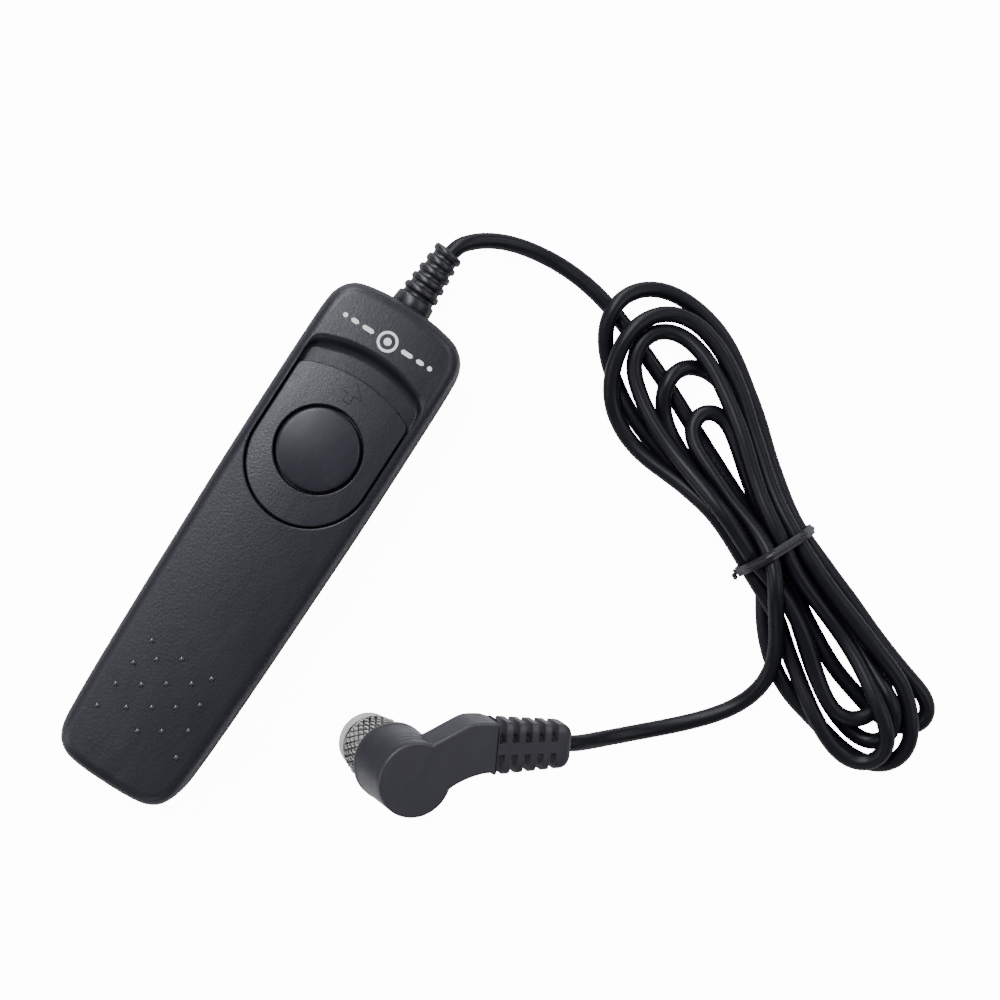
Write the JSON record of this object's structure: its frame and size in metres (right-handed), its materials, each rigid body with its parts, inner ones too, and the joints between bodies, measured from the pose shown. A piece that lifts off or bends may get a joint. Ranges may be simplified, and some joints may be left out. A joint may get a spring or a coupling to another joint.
{
  "type": "wired remote shutter release",
  "caption": "Corded remote shutter release: slim handset with sliding lock and push button, coiled thin cable in a twist tie, right-angle round plug with knurled lock ring.",
  "frame": {"origin": "middle of the handset's flat back, on the table", "axes": "+Y along the handset towards the cable exit, +X to the right seen from the button side, +Z out of the button face; the coiled cable and the plug lie on the same table plane"},
  "size_m": [0.1359, 0.1326, 0.0285],
  "materials": {
    "shell_plastic": "fine matte texture, near black",
    "slider_plastic": "satin, near black",
    "button_plastic": "smooth satin, dark grey",
    "boot_rubber": "matte black",
    "cable_jacket": "smooth, slightly glossy black",
    "tie_plastic": "ribbon over a wire core, black",
    "insulator": "natural, unpainted",
    "insert_plastic": "moulded black",
    "contact_metal": "thin gold plating",
    "ring_metal": "bright plating over knurled metal",
    "screw_steel": "zinc plated",
    "wire_white": "wire insulation",
    "wire_red": "wire insulation",
    "wire_yellow": "wire insulation"
  },
  "bodies": {
    "handset": {"upper_shell": "shell_plastic", "lower_shell": "shell_plastic", "shell_screw_1": "screw_steel", "shell_screw_2": "screw_steel", "shell_screw_3": "screw_steel", "handset_boot": "boot_rubber", "contact_base": "insulator", "contact_leaf_focus": "contact_metal", "contact_leaf_shutter": "contact_metal", "wire_common": "wire_white", "wire_focus": "wire_red", "wire_shutter": "wire_yellow", "cable_lead": "cable_jacket"},
    "slider": {"hold_slider": "slider_plastic"},
    "button": {"shutter_button": "button_plastic"},
    "common_leaf": {"contact_leaf_common": "contact_metal"},
    "hank": {"cable_hank": "cable_jacket", "twist_tie": "tie_plastic"},
    "plug": {"plug_housing": "shell_plastic", "plug_boot": "boot_rubber", "cable_tail": "cable_jacket", "plug_wire_1": "wire_white", "plug_wire_2": "wire_red", "plug_wire_3": "wire_yellow", "pin_carrier": "insert_plastic", "contact_socket_01": "contact_metal", "contact_socket_02": "contact_metal", "contact_socket_03": "contact_metal", "contact_socket_04": "contact_metal", "contact_socket_05": "contact_metal", "contact_socket_06": "contact_metal", "contact_socket_07": "contact_metal", "contact_socket_08": "contact_metal", "contact_socket_09": "contact_metal", "contact_socket_10": "contact_metal"},
    "ring": {"locking_ring": "ring_metal"}
  },
  "joints": [
    {"name": "hold_slide", "type": "slide", "parent": "handset", "child": "slider", "axis": [0, 1, 0], "range_m": [0, 0.0045]},
    {"name": "button_press", "type": "slide", "parent": "slider", "child": "button", "axis": [0, 0, -1], "range_m": [0, 0.0018], "stiffness_N_per_m": 60},
    {"name": "leaf_bend", "type": "hinge", "parent": "handset", "child": "common_leaf", "pos_m": [0, 0.04, 0.01045], "axis": [1, 0, 0], "range_deg": [0, 7.4]},
    {"name": "lead_swing", "type": "hinge", "parent": "handset", "child": "hank", "pos_m": [0.01174, 0.07253, 0.00267], "axis": [0, 0, 1], "range_deg": [-4, 15]},
    {"name": "plug_swing", "type": "hinge", "parent": "hank", "child": "plug", "pos_m": [0.07757, 0.00876, 0.00291], "axis": [0, 0, 1], "range_deg": [-10, 15]},
    {"name": "ring_spin", "type": "hinge", "parent": "plug", "child": "ring", "pos_m": [0.04659, -0.01874, 0.02565], "axis": [-0.4341, -0.061, -0.8988], "continuous": true}
  ],
  "couplings": [
    {"joint": "leaf_bend", "follows": "button_press", "rad_per_m": 70.8}
  ]
}
